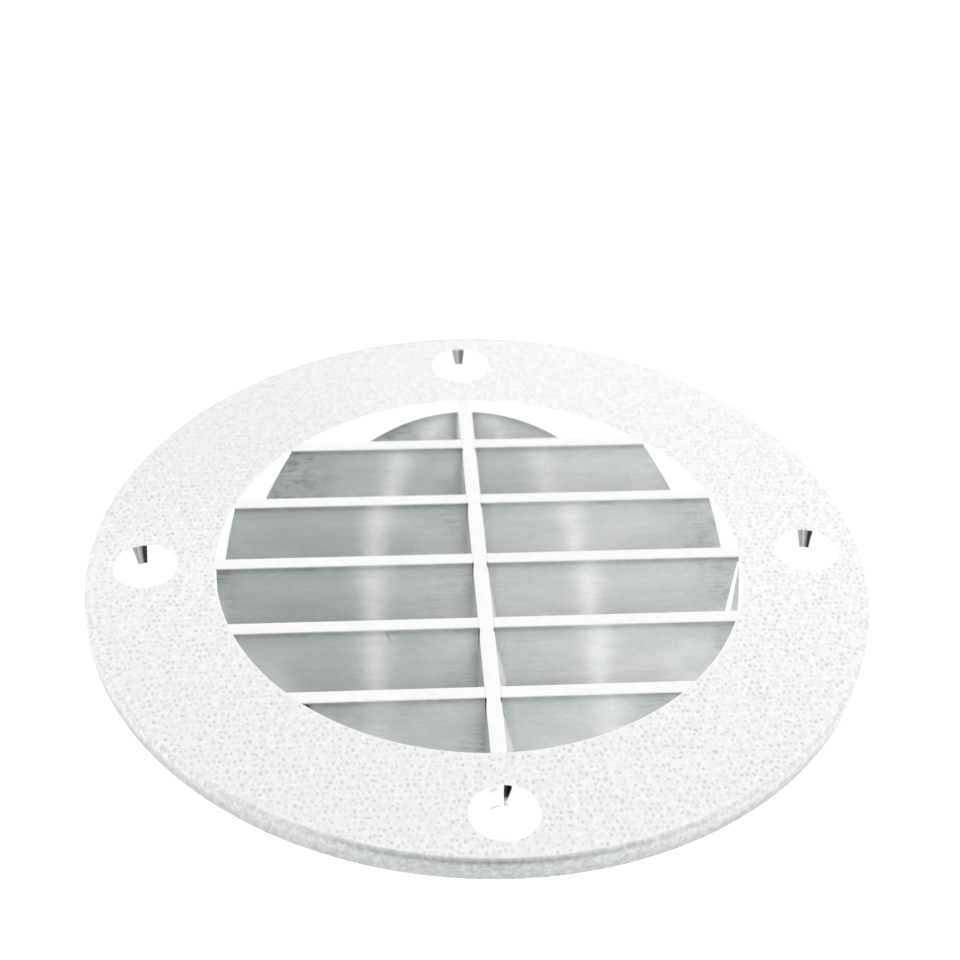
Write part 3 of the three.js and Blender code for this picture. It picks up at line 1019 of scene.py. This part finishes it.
def neck_sleeve(materials):
    """The rolled sleeve with its bead and lip, slotted for the blades and the mullion."""
    lip_top = neck_high.z
    lip_back = lip_top - SHEET
    bead_z, bead = neck_low.z + 4.5 * MM, 1.2 * MM
    bend, broken = 0.5 * MM, 0.1 * MM
    outline = [
        (OPENING_RADIUS, lip_top),
        *arc((OPENING_RADIUS, bead_z), (bead, bead), 90, -90, 10),
        (OPENING_RADIUS + broken, neck_low.z),
        (NECK_RADIUS - broken, neck_low.z),
        (NECK_RADIUS, neck_low.z + 0.2 * MM),
        *arc((NECK_RADIUS, bead_z), (bead, bead), -90, 90, 10),
        *arc((NECK_RADIUS + bend, lip_back - bend), (bend, bend), 180, 90, 4),
        (LIP_RADIUS - broken, lip_back),
        (LIP_RADIUS, lip_back + broken),
        (LIP_RADIUS, lip_top - broken),
        (LIP_RADIUS - broken, lip_top),
    ]
    sleeve = outward(revolve("sleeve", outline, ROUND))
    tools = [prism("slot", tenon_outline(i, SIDE_GAP), "X", NECK_RADIUS + MM) for i in range(len(BLADES))]
    tools.append(prism("slot", upright_outline(SIDE_GAP), "Y", NECK_RADIUS + MM))
    for name in LIP_SCREWS:
        tools.append(rod("hole", TAPPED_RADIUS + 0.1 * MM, lip_back - MM, lip_top + MM, SCREW_ROUND,
                         screw_place(name)))
    combine(sleeve, "DIFFERENCE", tools)
    smooth(sleeve)
    dress(sleeve, "neck_tube", materials, "neck_sleeve")
    for face in sleeve.data.polygons:
        inside = math.hypot(face.center.x, face.center.y) < OPENING_RADIUS + 0.3 * MM
        face.material_index = 1 if inside and face.center.z > FACE_Z - BLADE_DEPTH else 0


def lip_screw(name, materials):
    """A pan-head socket screw with a ridged shank, head towards the duct."""
    low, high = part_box(name)
    head_radius = (high.x - low.x) / 2
    head_top = neck_high.z - SHEET - SEAT_GAP
    crown, broken = 0.75 * MM, 0.1 * MM
    shank, pitch, thread = 1.02 * MM, 0.45 * MM, 0.2 * MM
    turns = int((high.z - head_top - 0.3 * MM) / pitch)
    ridges = [(shank + thread * (k % 2), head_top + pitch * (k + 1) / 2) for k in range(2 * turns)]
    outline = [
        (0, low.z),
        *arc((head_radius - crown, low.z + crown), (crown, crown), -90, 0, 8),
        (head_radius, head_top - broken),
        (head_radius - broken, head_top),
        *ridges,
        (shank - 0.3 * MM, high.z),
        (0, high.z),
    ]
    screw = outward(revolve(name, outline, 48))
    socket_radius, socket_depth = 0.9 * MM, 0.8 * MM
    socket = rod("socket", socket_radius, low.z - MM, low.z + socket_depth, segments=6)
    combine(screw, "DIFFERENCE", [socket])
    screw.data.transform(Matrix.Translation((*screw_place(name), 0)))
    smooth(screw)
    dress(screw, name + "_pan", materials, name)


def flange_gasket(materials):
    """The soft-edged foam ring between flange and ceiling, with a hole for each ceiling screw."""
    clearance = 0.8 * MM
    outer, inner = gasket_high.x, REBATE_RADIUS + clearance
    low, high = gasket_low.z, gasket_high.z
    corners = [(inner, low), (outer, low), (outer, high), (inner, high)]
    ring = outward(revolve("gasket", soften(corners, 0.3 * MM, steps=4), ROUND))
    tools = [rod("hole", HOLE_RADIUS + clearance, low - MM, high + MM, place=place)
             for place in around(HOLE_CIRCLE_RADIUS, CEILING_HOLES)]
    combine(ring, "DIFFERENCE", tools)
    smooth(ring)
    dress(ring, "foam_ring", materials, "flange_gasket")


# ---- stage, light and camera ----

def sheet(name, half_width, half_height, material):
    """A flat stage sheet facing up, centred on the origin."""
    corners = [(-half_width, -half_height, 0), (half_width, -half_height, 0),
               (half_width, half_height, 0), (-half_width, half_height, 0)]
    obj = mesh_object(name, corners, [(0, 1, 2, 3)])
    obj.data.materials.append(material)
    return obj


def floor():
    """A pale floor that glows evenly, as a lit sheet does."""
    half_side = 3.0
    sheet("floor", half_side, half_side, Shader("floor_paint").shine(strength=SKY))


def card_stripes(half_width):
    """Dark and grey upright stripes; the lower part is black at the left and white at the right."""
    s = Shader("card_stripes")
    x, y, _ = s.axes(s.place)
    stripes = x.span(-half_width, half_width).ramp(
        [(0.295, 1.0), (0.33, 0.03), (0.49, 0.02), (0.52, 0.2), (0.62, 0.24), (0.66, 0.5),
         (0.69, 0.45), (0.72, 0.15), (0.78, 0.24), (0.81, 0.5), (0.84, 0.13), (0.89, 0.3), (0.93, 1.0)])
    low = y.span(0.02, -0.03)
    black = low * x.span(-0.165, -0.155) * x.span(-0.05, -0.06)
    white = low * x.span(0.0, 0.01)
    stripes = stripes * black.opposite() * white.opposite() + white
    paler_top = y.span(0.08, 0.12, 0.0, 0.13)
    return s.shine(color=s.tinted(stripes.math("MAXIMUM", paler_top) * SKY, COOL))


def dark_card():
    """A card behind the camera that shows only in reflections, such as the streaks in the countersinks."""
    half_width, half_height, distance = 0.3, 0.2, 0.5
    card = sheet("dark_card", half_width, half_height, card_stripes(half_width))
    height = math.radians(48)
    card.location = (0, -distance * math.cos(height), distance * math.sin(height))
    card.rotation_euler = (math.pi / 2 - height, 0, 0)
    card.visible_camera = card.visible_diffuse = card.visible_shadow = False


def light_tent():
    """A white tent all round, brighter to the camera and a little greyer high up at the back."""
    world = bpy.data.worlds.new("light_tent")
    world.use_nodes = True
    bpy.context.scene.world = world
    nodes = Nodes(world.node_tree)
    _, y, z = nodes.axes(nodes.add("ShaderNodeTexCoord").outputs["Generated"])
    tent = y.span(0.2, 0.4) * z.span(0.66, 0.79) * -0.12 + 1.0
    background = world.node_tree.nodes["Background"]
    nodes.put(nodes.tinted(tent + nodes.ray("Camera")), background.inputs["Color"])
    nodes.put(SKY, background.inputs["Strength"])


def overhead_light():
    """A broad soft lamp above and behind the object."""
    lamp = bpy.data.lights.new("overhead", "AREA")
    lamp.shape = "DISK"
    lamp.size = 0.9
    lamp.energy = 0.3
    obj = bpy.data.objects.new("overhead", lamp)
    obj.location = (0.15, 0.35, 1.1)
    obj.rotation_euler = (-obj.location).to_track_quat("-Z", "Y").to_euler()
    bpy.context.scene.collection.objects.link(obj)


def camera():
    """The camera, at the photograph's viewing angle and focused on the front of the flange."""
    azimuth, elevation, roll = math.radians(-4.97), math.radians(39.0), math.radians(1.89)
    distance = 5.009 * RIM_RADIUS
    aim = Vector((0.022 * RIM_RADIUS, 0.319 * RIM_RADIUS, FACE_Z))
    level_part = math.cos(elevation)
    back = Vector((math.sin(azimuth) * level_part, -math.cos(azimuth) * level_part, math.sin(elevation)))
    lens = bpy.data.cameras.new("camera")
    lens.sensor_width = 36.0
    lens.lens = 68.96
    lens.clip_start = 0.01
    lens.dof.use_dof = True
    lens.dof.aperture_fstop = 28
    lens.dof.focus_distance = distance - 50 * MM
    obj = bpy.data.objects.new("camera", lens)
    obj.rotation_mode = "QUATERNION"
    obj.location = aim + back * distance
    unrolled = (-back).to_track_quat("-Z", "Y")
    obj.rotation_quaternion = unrolled @ Matrix.Rotation(roll, 3, "Z").to_quaternion()
    bpy.context.scene.collection.objects.link(obj)
    bpy.context.scene.camera = obj


# ---- everything together ----

wall = glowing_wall_metal()
satin = satin_metal()
brushed = brushed_metal()
steel = screw_steel()

face_flange([cast_metal(), polished_metal(), wall])
neck_sleeve([rolled_metal(), wall])
mullion([satin])
for number, blade_name in enumerate(BLADES):
    # The bead in slot 2 takes the opening wall's material, with its painted glow.
    louvre_blade(number, blade_name, [brushed, satin, wall])
for screw_name in LIP_SCREWS:
    lip_screw(screw_name, [steel])
flange_gasket([foam()])

floor()
dark_card()
light_tent()
overhead_light()
camera()
bpy.context.scene.view_settings.view_transform = "Standard"
